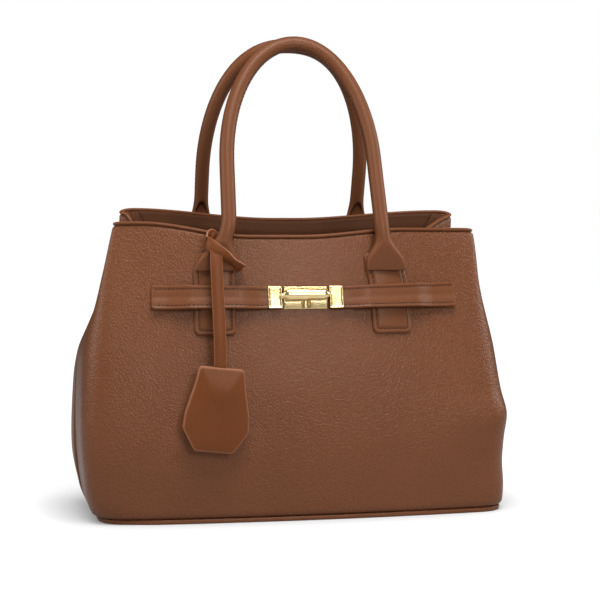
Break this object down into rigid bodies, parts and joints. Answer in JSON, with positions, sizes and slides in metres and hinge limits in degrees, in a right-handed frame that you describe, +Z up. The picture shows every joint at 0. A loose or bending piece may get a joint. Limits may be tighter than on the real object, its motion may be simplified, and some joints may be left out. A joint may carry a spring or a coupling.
{
  "type": "tote bag",
  "caption": "Structured leather tote bag with folding rolled handles, sides that fold in at the rim, a belt with a turn lock, and a bell charm on a strap.",
  "frame": {"origin": "centre of the base's underside, on the surface that the bag stands on", "axes": "+Z up, the front with the lock faces -Y, +X to the right as seen from the front"},
  "size_m": [0.34, 0.1564, 0.3734],
  "materials": {
    "pebbled_leather": "fine pebbled grain, satin",
    "smooth_leather": "smooth, satin, stitched",
    "charm_leather": "smooth, semi-gloss",
    "lining_leather": "thin smooth leather, matt",
    "base_stiffener": "raw fibre board",
    "rope_core": "twisted cotton rope",
    "gold_metal": "polished pale gold plating"
  },
  "bodies": {
    "bag": {"front_panel": "pebbled_leather", "back_panel": "pebbled_leather", "base_panel": "smooth_leather", "front_facing": "smooth_leather", "back_facing": "smooth_leather", "front_rim_binding": "smooth_leather", "back_rim_binding": "smooth_leather", "front_left_handle_tab": "smooth_leather", "front_right_handle_tab": "smooth_leather", "back_left_handle_tab": "smooth_leather", "back_right_handle_tab": "smooth_leather", "front_left_handle_foot": "smooth_leather", "front_right_handle_foot": "smooth_leather", "back_left_handle_foot": "smooth_leather", "back_right_handle_foot": "smooth_leather", "belt_left": "smooth_leather", "belt_right": "smooth_leather", "charm_loop": "charm_leather", "front_lining": "lining_leather", "back_lining": "lining_leather", "left_lining": "lining_leather", "right_lining": "lining_leather", "base_lining": "lining_leather", "base_board": "base_stiffener", "lock_middle_plate": "gold_metal", "lock_left_plate": "gold_metal", "lock_right_plate": "gold_metal", "lock_post": "gold_metal", "lock_backing_plate": "gold_metal"},
    "front_handle": {"front_handle_sheath": "smooth_leather", "front_handle_core": "rope_core"},
    "back_handle": {"back_handle_sheath": "smooth_leather", "back_handle_core": "rope_core"},
    "toggle": {"lock_toggle": "gold_metal"},
    "charm_hanger": {"charm_strap": "charm_leather"},
    "charm_bell": {"charm_tongue": "charm_leather", "charm_bell_front": "charm_leather", "charm_bell_back": "charm_leather"}
  },
  "joints": [
    {"name": "front_handle_fold", "type": "hinge", "parent": "bag", "child": "front_handle", "pos_m": [0, -0.05898, 0.22428], "axis": [1, 0, 0], "range_deg": [0, 60]},
    {"name": "back_handle_fold", "type": "hinge", "parent": "bag", "child": "back_handle", "pos_m": [0, 0.05722, 0.23502], "axis": [-1, 0, 0], "range_deg": [0, 60]},
    {"name": "toggle_turn", "type": "hinge", "parent": "bag", "child": "toggle", "pos_m": [0, -0.05975, 0.17098], "axis": [0, -0.9897, 0.1429], "range_deg": [0, 90]},
    {"name": "charm_swing", "type": "hinge", "parent": "bag", "child": "charm_hanger", "pos_m": [-0.066, -0.06813, 0.21402], "axis": [0, 1, 0], "range_deg": [-25, 25]},
    {"name": "charm_flip", "type": "hinge", "parent": "charm_hanger", "child": "charm_bell", "pos_m": [-0.066, -0.0797, 0.12275], "axis": [-1, 0, 0], "range_deg": [0, 80]}
  ]
}
